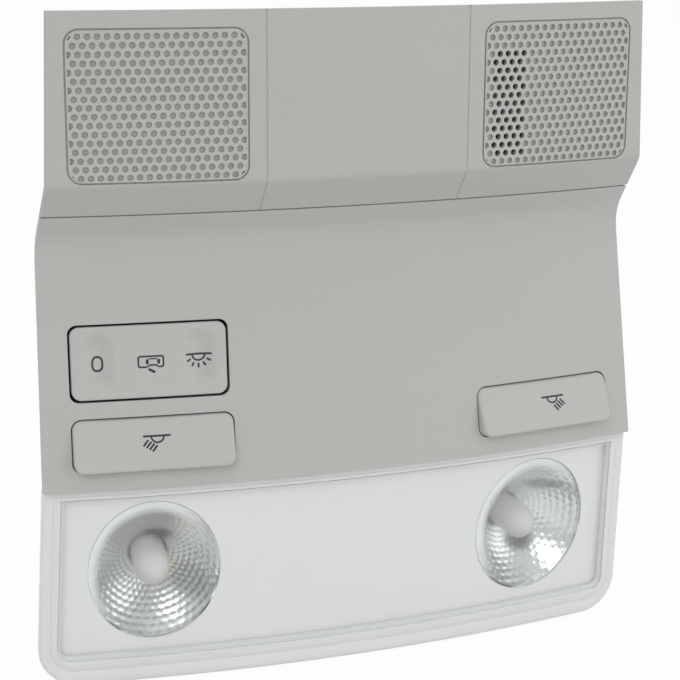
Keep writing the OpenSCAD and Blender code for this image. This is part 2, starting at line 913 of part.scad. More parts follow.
// Plunger in the switch body, just short of the button's pusher
module plunger(side) {
    color(cap_grey)
        translate([side * control_x, 0, plunger_z])
            y_rod(plunger_r, plunger_front_y, switch_front_y + plunger_back);
}

// Three-position rocker: hollow cap flush with the bezel, two finger hollows, hub, pins and stem
module mode_rocker() {
    hollow_r = (hollow_w * hollow_w / 4 + hollow_depth * hollow_depth) / (2 * hollow_depth);
    color(cap_grey) {
        difference() {
            intersection() {
                behind(front_line, bezel_low_z, bezel_top_z, 0);
                at_rocker()
                    inward(-8, cap_depth)
                        round_rect(rocker_cap_w, rocker_cap_h, rocker_r - control_gap);
            }
            at_rocker() {
                inward(1 + cap_wall, cap_depth + 4)
                    round_rect(rocker_cap_w - 2 * cap_wall, rocker_cap_h - 2 * cap_wall, 0.8);
                for (x = [-hollow_x, hollow_x]) {
                    translate([x, hollow_depth - hollow_r, 0])
                        cylinder(h = hollow_l, r = hollow_r, center = true);
                    for (z = [-hollow_l / 2, hollow_l / 2])
                        translate([x, hollow_depth - hollow_r, z])
                            sphere(hollow_r);
                }
            }
        }
        at_rocker() {
            translate([0, pivot_depth, 0])
                cylinder(h = rocker_h + 2 * ear_gap + 2 * ear_t, r = pin_r, center = true);
            translate([0, (1.6 + pivot_depth + 1) / 2, 0])
                cube([3, pivot_depth - 0.6, rocker_cap_h - 1], center = true);
            translate([0, (pivot_depth + stem_depth) / 2, 0])
                cube([2, stem_depth - pivot_depth, 4], center = true);
        }
    }
}

// Wedge shaped button: flush at its top edge and proud at its lower edge, with bevelled ends
module button(side) {
    low = -button_cap_h / 2;
    high = button_cap_h / 2;
    half = button_cap_w / 2;
    bevel = 1.6;
    color(cap_grey)
        at_button(side) {
            difference() {
                intersection() {
                    inward(-8, cap_depth) round_rect(button_cap_w, button_cap_h, button_r - control_gap);
                    rotate([90, 0, 90])
                        translate([0, 0, -half])
                            linear_extrude(2 * half)
                                polygon(concat([[cap_depth, low], [0, low]],
                                               corner([0, low], [-button_rise, low + 0.4],
                                                      [0.3, high], 0.9),
                                               corner([-button_rise, low + 0.4], [0.3, high],
                                                      [cap_depth, high], 0.5),
                                               [[cap_depth, high]]));
                    translate([0, 0, low])
                        linear_extrude(2 * high)
                            polygon([[-half, cap_depth], [-half, 0.2],
                                     [-half + bevel, -button_rise - 0.4],
                                     [half - bevel, -button_rise - 0.4],
                                     [half, 0.2], [half, cap_depth]]);
                }
                inward(1.2 + cap_wall, cap_depth + 4)
                    round_rect(button_cap_w - 2 * cap_wall, button_cap_h - 2 * cap_wall, 0.8);
            }
            for (x = [-1, 1])
                translate([x * (half + button_w / 2 + ear_gap + ear_t - 1) / 2, pivot_depth, button_pivot_s])
                    x_rod(pin_r, button_w / 2 + ear_gap + ear_t + 1 - half);
            translate([-3, pusher_front, plunger_s - 2])
                cube([6, pusher_back - pusher_front, 4]);
        }
}

// Tray glued behind the open holes of the right grille
module microphone_housing() {
    color(switch_black)
        difference() {
            intersection() {
                behind(front_line, panel_low_z, top_z, skin + 0.05);
                translate([mic_x, 0, mic_z])
                    inward(-seat_depth, -seat_depth + skin + 1 + mic_depth)
                        round_rect(mic_w, mic_h, 1.5);
            }
            translate([mic_x, 0, mic_z])
                inward(-seat_depth - 1, -seat_depth + skin + mic_depth)
                    round_rect(mic_w - 2 * mic_wall, mic_h - 2 * mic_wall, 1);
        }
}

module microphone_capsule() {
    color(bright_metal)
        translate([mic_x, 0, mic_z])
            y_rod(capsule_r, -seat_depth + skin + mic_depth - capsule_h, -seat_depth + skin + mic_depth);
}

// Two rows of contacts
module at_pins() {
    for (i = [0:pin_columns - 1], z = [-pin_row_z, pin_row_z])
        translate([(i - (pin_columns - 1) / 2) * pin_pitch, 0, z])
            children();
}

// Shrouded socket that stands on the board and opens to the rear
module connector_socket() {
    color(switch_black)
        translate([0, 0, socket_z])
            difference() {
                inward(bay_floor_y, socket_end_y) round_rect(socket_w, socket_h, 1);
                inward(bay_floor_y + 2, socket_end_y + 1)
                    square([socket_w - 2 * socket_wall, socket_h - 2 * socket_wall], center = true);
                at_pins()
                    inward(bay_floor_y - 1, 0) square(pin_w + 0.06, center = true);
            }
}

module connector_pins() {
    color(contact_brass)
        translate([0, 0, socket_z])
            at_pins()
                inward(bay_floor_y, (bay_floor_y + socket_end_y) / 2) square(pin_w, center = true);
}

// Folded spring strip over a tower of the housing
module spring_clip(side) {
    gap = 0.1;
    half = tower_t / 2 + gap;
    color(bright_metal)
        translate([side * clip_x - clip_w / 2, 0, clip_z])
            rotate([90, 0, 90])
                linear_extrude(clip_w)
                    polygon([[bay_back_y + clip_lift, half], [tower_y + gap, half],
                             [tower_y + gap, -half], [bay_back_y + clip_lift, -half],
                             [bay_back_y + clip_lift, -half - clip_foot],
                             [bay_back_y + 1, -half - clip_foot], [tower_y - 3, -half - clip_bulge],
                             [tower_y + gap + clip_t, -half - clip_t],
                             [tower_y + gap + clip_t, half + clip_t], [tower_y - 3, half + clip_bulge],
                             [bay_back_y + 1, half + clip_foot],
                             [bay_back_y + clip_lift, half + clip_foot]]);
}

// Four screws from behind into the bezel's posts
module housing_screws() {
    color(bright_metal)
        at_posts() {
            y_rod(pilot_r - 0.05, bay_floor_y - screw_reach, bay_back_y);
            y_rod(screw_head_r, bay_back_y, bay_back_y + screw_head_h);
        }
}

module left_reflector() {
    color(bright_metal)
        reflector(-1);
}

module right_reflector() {
    color(bright_metal)
        reflector(1);
}

module left_reading_bulb() {
    color(clear_glass)
        reading_bulb(-1);
}

module right_reading_bulb() {
    color(clear_glass)
        reading_bulb(1);
}

module left_bulb_holder() {
    color(switch_black)
        bulb_holder(-1);
}

module right_bulb_holder() {
    color(switch_black)
        bulb_holder(1);
}

fascia();
left_grille_panel();
centre_blank_panel();
right_grille_panel();
rear_housing();
lens();
diffuser();
light_box();
left_reflector();
right_reflector();
left_reading_bulb();
right_reading_bulb();
left_bulb_holder();
right_bulb_holder();
dome_bulb();
dome_clip(-1);  // left_dome_clip
dome_clip(1);  // right_dome_clip
circuit_board();
rocker_switch_body();
switch_body(-1);  // left_switch_body
switch_body(1);  // right_switch_body
plunger(-1);  // left_plunger
plunger(1);  // right_plunger
mode_rocker();
button(-1);  // left_button
button(1);  // right_button
microphone_housing();
microphone_capsule();
connector_socket();
connector_pins();
spring_clip(-1);  // left_spring_clip
spring_clip(1);  // right_spring_clip
housing_screws();
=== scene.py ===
import math

import bpy
import numpy as np
from mathutils import Matrix, Vector


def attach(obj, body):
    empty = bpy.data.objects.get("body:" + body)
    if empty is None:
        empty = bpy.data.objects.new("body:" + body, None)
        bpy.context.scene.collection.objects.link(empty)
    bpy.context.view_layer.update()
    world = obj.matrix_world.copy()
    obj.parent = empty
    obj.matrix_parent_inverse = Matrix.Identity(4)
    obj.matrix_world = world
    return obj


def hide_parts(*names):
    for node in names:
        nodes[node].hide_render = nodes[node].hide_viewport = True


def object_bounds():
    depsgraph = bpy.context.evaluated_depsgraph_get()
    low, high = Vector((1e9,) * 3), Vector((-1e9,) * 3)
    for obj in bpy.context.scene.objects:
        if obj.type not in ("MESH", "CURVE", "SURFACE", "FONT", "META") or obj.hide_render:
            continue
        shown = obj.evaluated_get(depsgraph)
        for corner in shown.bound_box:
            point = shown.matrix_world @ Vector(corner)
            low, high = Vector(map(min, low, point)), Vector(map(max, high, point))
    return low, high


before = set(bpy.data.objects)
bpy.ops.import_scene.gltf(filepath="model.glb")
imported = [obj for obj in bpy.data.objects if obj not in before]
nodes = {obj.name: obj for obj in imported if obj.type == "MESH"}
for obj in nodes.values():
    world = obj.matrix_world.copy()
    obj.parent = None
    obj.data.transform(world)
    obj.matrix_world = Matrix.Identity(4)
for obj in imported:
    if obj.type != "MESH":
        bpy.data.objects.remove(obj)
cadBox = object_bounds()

mm = 0.001
scene = bpy.context.scene

# the front is a barrel: a surface of revolution about an upright axis behind the console
front = {"axisY": 447.0, "crownR": 491.0,
         "bezelFoot": (8.0, 3.3), "bezelSlope": math.atan(10.6 / 66.4),
         "lensFoot": (-51.8, 11.6), "lensBelly": (-33.6, 10.0), "lensHead": (7.8, 5.5),
         "topHalf": 84.7, "topZ": 136.7, "bottomHalf": 90.8}
lamp = {"x": 58.3, "z": -20.6}


def faceFrame(x, z, depth, slope):
    # local frame on the front: X across, Y into the piece, Z up the slope, in millimetres
    radius = front["crownR"] - depth
    turn = math.asin(x / radius)
    base = Matrix.Translation((0, front["axisY"], z)) @ Matrix.Rotation(turn, 4, "Z")
    return np.array(base @ Matrix.Translation((0, -radius, 0)) @ Matrix.Rotation(-slope, 4, "X"))


def bezelFrame(x, z):
    depth = front["bezelFoot"][1] + (z - front["bezelFoot"][0]) * math.tan(front["bezelSlope"])
    return faceFrame(x, z, depth, front["bezelSlope"])


def lensDepth(z):
    # the lens's section: straight from its head to the belly and from there to its foot
    heights, depths = zip(front["lensFoot"], front["lensBelly"], front["lensHead"])
    return np.interp(z, heights, depths)


def lampFrame(side):
    (bellyZ, bellyDepth), (headZ, headDepth) = front["lensBelly"], front["lensHead"]
    slope = -math.atan((bellyDepth - headDepth) / (headZ - bellyZ))
    return faceFrame(side * lamp["x"], lamp["z"], float(lensDepth(lamp["z"])), slope)


def lensPoints(x, z, depth):
    # places behind the lens's face, by the formula of the barrel
    y = front["axisY"] - np.sqrt((front["crownR"] - lensDepth(z) - depth) ** 2 - x * x)
    return np.stack([x, y + 0 * z, z + 0 * x], -1)


def halfWidth(z):
    share = (front["topZ"] - z) / (front["topZ"] - front["lensFoot"][0])
    return front["topHalf"] + (front["bottomHalf"] - front["topHalf"]) * share


def toRow(points, matrix):
    # local millimetres to metres in the row frame, for a whole array at once
    flat = points.reshape(-1, 3) @ matrix[:3, :3].T + matrix[:3, 3]
    return (flat * mm).reshape(points.shape)


def gridFaces(rows, columns, closeRows, closeColumns, start=0):
    # quads of a grid of points, joined round where a direction is closed
    i = np.arange(rows if closeRows else rows - 1)[:, None]
    j = np.arange(columns if closeColumns else columns - 1)[None, :]
    a = i * columns + j
    b = i * columns + (j + 1) % columns
    c = (i + 1) % rows * columns + (j + 1) % columns
    d = (i + 1) % rows * columns + j
    return np.stack([a, b, c, d], -1).reshape(-1, 4) + start


def capFaces(columns, rows):
    # quads that close the first and the last ring of a sweep, bridged from side to side
    i = np.arange(columns // 2 - 1)
    cap = np.stack([i, i + 1, columns - 2 - i, columns - 1 - i], -1)
    return np.concatenate([cap[:, ::-1], cap + (rows - 1) * columns])


def sweepFaces(points):
    # faces of rings that follow each other, closed round and capped at both ends
    rows, columns = points.shape[:2]
    return np.concatenate([gridFaces(rows, columns, False, True), capFaces(columns, rows)])


def meshFrom(name, points, faces):
    mesh = bpy.data.meshes.new(name)
    mesh.from_pydata(points.reshape(-1, 3).tolist(), [], faces.tolist())
    mesh.validate()
    mesh.polygons.foreach_set("use_smooth", np.ones(len(mesh.polygons), bool))
    mesh.set_sharp_from_angle(angle=math.radians(35))
    mesh.update()
    return mesh


def addPiece(name, mesh, material, body):
    piece = bpy.data.objects.new(name, mesh)
    scene.collection.objects.link(piece)
    mesh.materials.append(material)
    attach(piece, body)
    return piece


def joined(parts):
    # several (points, faces) pairs as one
    points, faces, count = [], [], 0
    for p, f in parts:
        points.append(p.reshape(-1, 3))
        faces.append(f + count)
        count += len(points[-1])
    return np.concatenate(points), np.concatenate(faces)


print("stage: effects and materials")


def newGroup(name, inputs, outputs):
    group = bpy.data.node_groups.new(name, "ShaderNodeTree")
    for label, kind, value in inputs:
        socket = group.interface.new_socket(label, in_out="INPUT", socket_type=kind)
        if value is not None:
            socket.default_value = value
    for label, kind in outputs:
        group.interface.new_socket(label, in_out="OUTPUT", socket_type=kind)
    entry = group.nodes.new("NodeGroupInput")
    leave = group.nodes.new("NodeGroupOutput")
    return group, entry, leave


def makeGrainGroup():
    # spark-eroded grain: two sizes of noise and a little uneven tone
    group, entry, leave = newGroup(
        "mouldedGrain",
        [("Place", "NodeSocketVector", None), ("Grain Size", "NodeSocketFloat", 0.0004),
         ("Tone", "NodeSocketFloat", 0.03)],
        [("Height", "NodeSocketFloat"), ("Shade", "NodeSocketFloat")])
    n, link = group.nodes, group.links.new
    scale = n.new("ShaderNodeMath")
    scale.operation = "DIVIDE"
    scale.inputs[0].default_value = 1
    link(entry.outputs["Grain Size"], scale.inputs[1])
    fine = n.new("ShaderNodeTexNoise")
    fine.inputs["Detail"].default_value = 2
    link(entry.outputs["Place"], fine.inputs["Vector"])
    link(scale.outputs[0], fine.inputs["Scale"])
    cells = n.new("ShaderNodeTexVoronoi")
    cells.feature = "SMOOTH_F1"
    link(entry.outputs["Place"], cells.inputs["Vector"])
    half = n.new("ShaderNodeMath")
    half.operation = "MULTIPLY"
    half.inputs[1].default_value = 0.55
    link(scale.outputs[0], half.inputs[0])
    link(half.outputs[0], cells.inputs["Scale"])
    blend = n.new("ShaderNodeMath")
    blend.operation = "MULTIPLY_ADD"
    blend.inputs[1].default_value = 0.6
    link(cells.outputs["Distance"], blend.inputs[0])
    link(fine.outputs[0], blend.inputs[2])
    link(blend.outputs[0], leave.inputs["Height"])
    cloud = n.new("ShaderNodeTexNoise")
    cloud.inputs["Scale"].default_value = 26
    cloud.inputs["Detail"].default_value = 3
    link(entry.outputs["Place"], cloud.inputs["Vector"])
    spread = n.new("ShaderNodeMath")
    spread.operation = "SUBTRACT"
    spread.inputs[1].default_value = 0.5
    link(cloud.outputs[0], spread.inputs[0])
    tone = n.new("ShaderNodeMath")
    tone.operation = "MULTIPLY_ADD"
    tone.inputs[2].default_value = 1
    link(spread.outputs[0], tone.inputs[0])
    link(entry.outputs["Tone"], tone.inputs[1])
    link(tone.outputs[0], leave.inputs["Shade"])
    return group


grainGroup = makeGrainGroup()


def newMaterial(name):
    material = bpy.data.materials.new(name)
    material.use_nodes = True
    tree = material.node_tree
    tree.nodes.clear()
    out = tree.nodes.new("ShaderNodeOutputMaterial")
    shader = tree.nodes.new("ShaderNodeBsdfPrincipled")
    tree.links.new(shader.outputs[0], out.inputs["Surface"])
    return material, tree, shader, out


def shaded(tree, colour, shadeSocket):
    # colour times a shade that changes over the surface
    mix = tree.nodes.new("ShaderNodeMix")
    mix.data_type = "RGBA"
    mix.blend_type = "MULTIPLY"
    mix.inputs[0].default_value = 1
    mix.inputs[6].default_value = (*colour, 1)
    tree.links.new(shadeSocket, mix.inputs[7])
    return mix.outputs[2]


def grained(tree, shader, look):
    # the shared grain on the object's own coordinates, with its uneven tone in the colour
    place = tree.nodes.new("ShaderNodeTexCoord")
    grain = tree.nodes.new("ShaderNodeGroup")
    grain.node_tree = grainGroup
    grain.inputs["Grain Size"].default_value = look["grainSize"] * mm
    grain.inputs["Tone"].default_value = look["tone"]
    tree.links.new(place.outputs["Object"], grain.inputs["Place"])
    tree.links.new(shaded(tree, look["colour"], grain.outputs["Shade"]), shader.inputs["Base Color"])
    return grain


def roughened(tree, shader, grain, low, high):
    # roughness that follows the grain's height, from low to high
    rough = tree.nodes.new("ShaderNodeMapRange")
    rough.inputs["From Min"].default_value = 0.3
    rough.inputs["From Max"].default_value = 1.1
    rough.inputs["To Min"].default_value = low
    rough.inputs["To Max"].default_value = high
    tree.links.new(grain.outputs["Height"], rough.inputs["Value"])
    tree.links.new(rough.outputs["Result"], shader.inputs["Roughness"])


def mouldedPlastic(name, look):
    material, tree, shader, out = newMaterial(name)
    grain = grained(tree, shader, look)
    roughened(tree, shader, grain, look["roughness"] - 0.04, look["roughness"] + 0.06)
    bump = tree.nodes.new("ShaderNodeBump")
    bump.inputs["Strength"].default_value = look["relief"]
    bump.inputs["Distance"].default_value = look["grainSize"] * mm * 0.2
    tree.links.new(grain.outputs["Height"], bump.inputs["Height"])
    tree.links.new(bump.outputs["Normal"], shader.inputs["Normal"])
    shader.inputs["Specular IOR Level"].default_value = 0.4
    return material


plastics = {
    "bezelPlastic": {"colour": (0.455, 0.465, 0.445), "roughness": 0.5, "grainSize": 0.35, "tone": 0.04,
                     "relief": 0.35},
    "panelPlastic": {"colour": (0.435, 0.445, 0.425), "roughness": 0.52, "grainSize": 0.35, "tone": 0.04,
                     "relief": 0.4},
    "capPlastic": {"colour": (0.47, 0.48, 0.46), "roughness": 0.42, "grainSize": 0.22, "tone": 0.02,
                   "relief": 0.2},
    "housingPlastic": {"colour": (0.17, 0.172, 0.172), "roughness": 0.5, "grainSize": 0.5, "tone": 0.1,
                       "relief": 0.4},
    "switchPlastic": {"colour": (0.018, 0.018, 0.02), "roughness": 0.45, "grainSize": 0.3, "tone": 0.1,
                      "relief": 0.3},
    "boxPlastic": {"colour": (0.8, 0.8, 0.79), "roughness": 0.3, "grainSize": 0.5, "tone": 0.03,
                   "relief": 0.15},
    "socketPlastic": {"colour": (0.62, 0.62, 0.6), "roughness": 0.4, "grainSize": 0.3, "tone": 0.06,
                      "relief": 0.2},
    "markPaint": {"colour": (0.03, 0.035, 0.035), "roughness": 0.5, "grainSize": 0.12, "tone": 0.1,
                  "relief": 0.3},
    "boardLaminate": {"colour": (0.02, 0.13, 0.06), "roughness": 0.35, "grainSize": 0.8, "tone": 0.25,
                      "relief": 0.2},
}
made = {name: mouldedPlastic(name, look) for name, look in plastics.items()}


def brightMetal(name, look):
    material, tree, shader, out = newMaterial(name)
    grain = grained(tree, shader, look)
    roughened(tree, shader, grain, look["roughness"] * 0.8, look["roughness"] * 1.3)
    shader.inputs["Metallic"].default_value = 1
    return material


metals = {
    "reflectorFilm": {"colour": (0.9, 0.91, 0.92), "roughness": 0.17, "grainSize": 0.5, "tone": 0.05},
    "contactBrass": {"colour": (0.62, 0.45, 0.2), "roughness": 0.3, "grainSize": 0.4, "tone": 0.15},
    "springSteel": {"colour": (0.42, 0.43, 0.45), "roughness": 0.28, "grainSize": 0.6, "tone": 0.15},
    "screwSteel": {"colour": (0.5, 0.51, 0.53), "roughness": 0.35, "grainSize": 0.3, "tone": 0.2},
    "capsuleCan": {"colour": (0.55, 0.56, 0.58), "roughness": 0.3, "grainSize": 0.4, "tone": 0.15},
    "filamentWire": {"colour": (0.3, 0.28, 0.26), "roughness": 0.4, "grainSize": 0.2, "tone": 0.1},
}
made.update({name: brightMetal(name, look) for name, look in metals.items()})


def makeSpotGroup():
    # a soft ellipse seen from the front: 1 within it, fading to 0 by the scaled distance from its middle
    group, entry, leave = newGroup(
        "softSpot",
        [("Place", "NodeSocketVector", None), ("Middle", "NodeSocketVector", None),
         ("Reach", "NodeSocketVector", None), ("Strength", "NodeSocketFloat", 1.0)],
        [("Mask", "NodeSocketFloat")])
    n, link = group.nodes, group.links.new
    away = n.new("ShaderNodeVectorMath")
    away.operation = "SUBTRACT"
    link(entry.outputs["Place"], away.inputs[0])
    link(entry.outputs["Middle"], away.inputs[1])
    scaled = n.new("ShaderNodeVectorMath")
    scaled.operation = "DIVIDE"
    link(away.outputs[0], scaled.inputs[0])
    link(entry.outputs["Reach"], scaled.inputs[1])
    far = n.new("ShaderNodeVectorMath")
    far.operation = "LENGTH"
    link(scaled.outputs[0], far.inputs[0])
    fade = n.new("ShaderNodeMapRange")
    fade.interpolation_type = "SMOOTHSTEP"
    fade.inputs["From Min"].default_value = 0.45
    fade.inputs["From Max"].default_value = 1.25
    fade.inputs["To Min"].default_value = 1
    fade.inputs["To Max"].default_value = 0
    link(far.outputs["Value"], fade.inputs["Value"])
    mask = n.new("ShaderNodeMath")
    mask.operation = "MULTIPLY"
    link(fade.outputs["Result"], mask.inputs[0])
    link(entry.outputs["Strength"], mask.inputs[1])
    link(mask.outputs[0], leave.inputs["Mask"])
    return group


spotGroup = makeSpotGroup()

# painted reflections on the lamps' coating, dark and warm patches in the places where the lamps show
# reflections:
# the middle (across, up), the reach both ways, the strength and the tint
bowlPaintedReflections = {
    "left": [((-53.6, -13.2), (4.6, 2.3), 0.85, (0.12, 0.125, 0.135)),
             ((-52.9, -22.8), (5.2, 5.2), 0.85, (1.0, 0.8, 0.58)),
             ((-45.5, -26.5), (5.0, 5.5), 0.6, (0.3, 0.31, 0.33))],
    "right": [((61.0, -28.6), (5.4, 3.6), 0.85, (0.13, 0.135, 0.145)),
              ((67.5, -10.0), (6.0, 2.2), 0.6, (0.2, 0.205, 0.215))]}


def bowlFilm(side):
    # the bright coating with its painted reflections laid one over another
    material = brightMetal(side + "BowlFilm", metals["reflectorFilm"])
    tree = material.node_tree
    shader = next(n for n in tree.nodes if n.type == "BSDF_PRINCIPLED")
    place = next(n for n in tree.nodes if n.type == "TEX_COORD")
    colour = shader.inputs["Base Color"].links[0].from_socket
    for middle, reach, strength, tint in bowlPaintedReflections[side]:
        spot = tree.nodes.new("ShaderNodeGroup")
        spot.node_tree = spotGroup
        spot.inputs["Middle"].default_value = (middle[0] * mm, 0, middle[1] * mm)
        spot.inputs["Reach"].default_value = (reach[0] * mm, 1, reach[1] * mm)
        spot.inputs["Strength"].default_value = strength
        tree.links.new(place.outputs["Object"], spot.inputs["Place"])
        mix = tree.nodes.new("ShaderNodeMix")
        mix.data_type = "RGBA"
        tree.links.new(spot.outputs["Mask"], mix.inputs[0])
        tree.links.new(colour, mix.inputs[6])
        mix.inputs[7].default_value = (*tint, 1)
        colour = mix.outputs[2]
    tree.links.new(colour, shader.inputs["Base Color"])
    return material


made.update({side + "BowlFilm": bowlFilm(side) for side in bowlPaintedReflections})


def clearPlastic(name, look):
    # glass for what is seen, and nothing in the way of the light that reaches the pieces behind
    material, tree, shader, out = newMaterial(name)
    shader.inputs["Base Color"].default_value = (*look["colour"], 1)
    shader.inputs["Roughness"].default_value = look["roughness"]
    shader.inputs["IOR"].default_value = look["ior"]
    shader.inputs["Transmission Weight"].default_value = 1
    bare = tree.nodes.new("ShaderNodeBsdfTransparent")
    bare.inputs[0].default_value = (*look["shadow"], 1)
    path = tree.nodes.new("ShaderNodeLightPath")
    both = tree.nodes.new("ShaderNodeMath")
    both.operation = "MAXIMUM"
    tree.links.new(path.outputs["Is Shadow Ray"], both.inputs[0])
    tree.links.new(path.outputs["Is Diffuse Ray"], both.inputs[1])
    mix = tree.nodes.new("ShaderNodeMixShader")
    tree.links.new(both.outputs[0], mix.inputs[0])
    tree.links.new(shader.outputs[0], mix.inputs[1])
    tree.links.new(bare.outputs[0], mix.inputs[2])
    tree.links.new(mix.outputs[0], out.inputs["Surface"])
    return material


clears = {
    "lensClear": {"colour": (0.97, 0.98, 0.98), "roughness": 0.0, "ior": 1.49, "shadow": (0.97, 0.98, 0.98)},
    "bulbClear": {"colour": (0.99, 0.99, 0.99), "roughness": 0.0, "ior": 1.14, "shadow": (0.97, 0.97, 0.97)},
}
made.update({name: clearPlastic(name, look) for name, look in clears.items()})


def milkyPlastic(name, look):
    material, tree, shader, out = newMaterial(name)
    grained(tree, shader, look)
    shader.inputs["Roughness"].default_value = look["roughness"]
    shader.inputs["Transmission Weight"].default_value = look["transmission"]
    shader.inputs["IOR"].default_value = look["ior"]
    return material


made["milkyPlastic"] = milkyPlastic("milkyPlastic", {
    "colour": (0.85, 0.845, 0.82), "roughness": 0.5, "transmission": 0.06, "ior": 1.3,
    "grainSize": 0.4, "tone": 0.02})
made["lensFrost"] = milkyPlastic("lensFrost", {
    "colour": (0.84, 0.85, 0.84), "roughness": 0.2, "transmission": 0.16, "ior": 1.35,
    "grainSize": 0.8, "tone": 0.03})


fade = {"halfWide": 18.6, "halfHigh": 21.2, "rise": 1.9, "lean": -0.8, "share": 0.78,
        "ringFrom": 0.8, "ringTo": 0.96, "upperFrom": -0.25, "upperTo": 0.6}


def makeFadeGroup():
    # in a window, scaled so that its edge is at 1: Slant runs from 0 at the lower right to 1 at the
    # upper left, and Ring is 1 along the edge at the upper left
    group, entry, leave = newGroup("windowFade", [("Place", "NodeSocketVector", None)],
                                   [("Slant", "NodeSocketFloat"), ("Ring", "NodeSocketFloat")])
    n, link = group.nodes, group.links.new

    def math2(operation, a, b, c=0.0):
        node = n.new("ShaderNodeMath")
        node.operation = operation
        for socket, value in zip(node.inputs, (a, b, c)):
            if isinstance(value, float):
                socket.default_value = value
            else:
                link(value, socket)
        return node.outputs[0]

    def smooth(value, low, high):
        node = n.new("ShaderNodeMapRange")
        node.interpolation_type = "SMOOTHSTEP"
        node.inputs["From Min"].default_value = low
        node.inputs["From Max"].default_value = high
        link(value, node.inputs["Value"])
        return node.outputs["Result"]

    parts = n.new("ShaderNodeSeparateXYZ")
    link(entry.outputs["Place"], parts.inputs[0])
    apart = math2("SIGN", parts.outputs["X"], 0.0)
    across = math2("MULTIPLY_ADD", apart, -lamp["x"] * mm, parts.outputs["X"])
    across = math2("MULTIPLY", across, 1 / (fade["halfWide"] * mm))
    up = math2("MULTIPLY_ADD", parts.outputs["Z"], 1 / (fade["halfHigh"] * mm),
               -(lamp["z"] + fade["rise"]) / fade["halfHigh"])
    slanted = math2("MULTIPLY", math2("MULTIPLY_ADD", across, fade["lean"], up), fade["share"])
    apartNow = math2("SQRT", math2("MULTIPLY_ADD", across, across, math2("MULTIPLY", up, up)), 0.0)
    link(smooth(slanted, -1.0, 1.0), leave.inputs["Slant"])
    ring = math2("MULTIPLY", smooth(apartNow, fade["ringFrom"], fade["ringTo"]),
                 smooth(slanted, fade["upperFrom"], fade["upperTo"]))
    link(ring, leave.inputs["Ring"])
    return group


def windowBlur(name, look):
    # clear at the lower right, more blurred towards the upper left, milky along the edge there
    material, tree, shader, out = newMaterial(name)
    place = tree.nodes.new("ShaderNodeTexCoord")
    shares = tree.nodes.new("ShaderNodeGroup")
    shares.node_tree = makeFadeGroup()
    tree.links.new(place.outputs["Object"], shares.inputs["Place"])
    for share, socket, low, high in (("Slant", "Roughness", look["clear"], look["frosted"]),
                                     ("Ring", "Transmission Weight", 1.0, 1 - look["milk"])):
        span = tree.nodes.new("ShaderNodeMapRange")
        span.inputs["To Min"].default_value = low
        span.inputs["To Max"].default_value = high
        tree.links.new(shares.outputs[share], span.inputs["Value"])
        tree.links.new(span.outputs["Result"], shader.inputs[socket])
    shader.inputs["Base Color"].default_value = (*look["colour"], 1)
    shader.inputs["IOR"].default_value = look["ior"]
    bare = tree.nodes.new("ShaderNodeBsdfTransparent")
    path = tree.nodes.new("ShaderNodeLightPath")
    mix = tree.nodes.new("ShaderNodeMixShader")
    tree.links.new(path.outputs["Is Shadow Ray"], mix.inputs[0])
    tree.links.new(shader.outputs[0], mix.inputs[1])
    tree.links.new(bare.outputs[0], mix.inputs[2])
    tree.links.new(mix.outputs[0], out.inputs["Surface"])
    return material


made["bulbSoft"] = milkyPlastic("bulbSoft", {
    "colour": (1.0, 0.97, 0.93), "roughness": 0.3, "transmission": 0.12, "ior": 1.3,
    "grainSize": 0.8, "tone": 0.02})
made["windowBlur"] = windowBlur("windowBlur", {
    "colour": (0.93, 0.94, 0.94), "clear": 0.08, "frosted": 0.21, "milk": 0.75, "ior": 1.3})

# which finish each CAD node wears
finishOf = {
    "fascia": "bezelPlastic", "left_grille_panel": "panelPlastic", "centre_blank_panel": "panelPlastic",
    "right_grille_panel": "panelPlastic", "rear_housing": "housingPlastic", "lens": "lensClear",
    "diffuser": "milkyPlastic", "light_box": "boxPlastic", "left_reflector": "reflectorFilm",
    "right_reflector": "reflectorFilm", "left_reading_bulb": "bulbSoft", "right_reading_bulb": "bulbSoft",
    "left_bulb_holder": "socketPlastic", "right_bulb_holder": "socketPlastic", "dome_bulb": "bulbClear",
    "left_dome_clip": "contactBrass", "right_dome_clip": "contactBrass", "circuit_board": "boardLaminate",
    "rocker_switch_body": "switchPlastic", "left_switch_body": "switchPlastic",
    "right_switch_body": "switchPlastic", "left_plunger": "capPlastic", "right_plunger": "capPlastic",
    "mode_rocker": "capPlastic", "left_button": "capPlastic", "right_button": "capPlastic",
    "microphone_housing": "switchPlastic", "microphone_capsule": "capsuleCan",
    "connector_socket": "switchPlastic", "connector_pins": "contactBrass",
    "left_spring_clip": "springSteel", "right_spring_clip": "springSteel", "housing_screws": "screwSteel"}
for nodeName, finish in finishOf.items():
    nodes[nodeName].data.materials.clear()
    nodes[nodeName].data.materials.append(made[finish])

print("stage: controls and their symbols")


def ribbon(path, width, closed, surface, matrix, lift=0.03, sink=0.08):
    # a flat stroke: a four-cornered section carried along a path of (across, up) points on a surface
    step = (np.roll(path, -1, 0) - np.roll(path, 1, 0)) if closed else np.gradient(path, axis=0)
    step /= np.linalg.norm(step, axis=1, keepdims=True)
    side = np.stack([-step[:, 1], step[:, 0]], -1) * width / 2
    if not closed:
        reach = np.linalg.norm(np.diff(path, axis=0), axis=1)
        run = np.concatenate([[0], np.cumsum(reach)])
        end = np.clip(np.minimum(run, run[-1] - run) / (width / 2), 0.04, 1)
        side *= np.sqrt(1 - (1 - end) ** 2)[:, None]
    across = np.array([-1, -1, 1, 1])[None, :, None]
    flat = path[:, None, :] + side[:, None, :] * across
    depth = surface(flat[..., 0], flat[..., 1]) + np.array([sink, -lift, -lift, sink])[None, :]
    points = np.stack([flat[..., 0], depth, flat[..., 1]], -1)
    faces = gridFaces(len(path), 4, True, True) if closed else sweepFaces(points)
    return toRow(points, matrix), faces[:, ::-1]


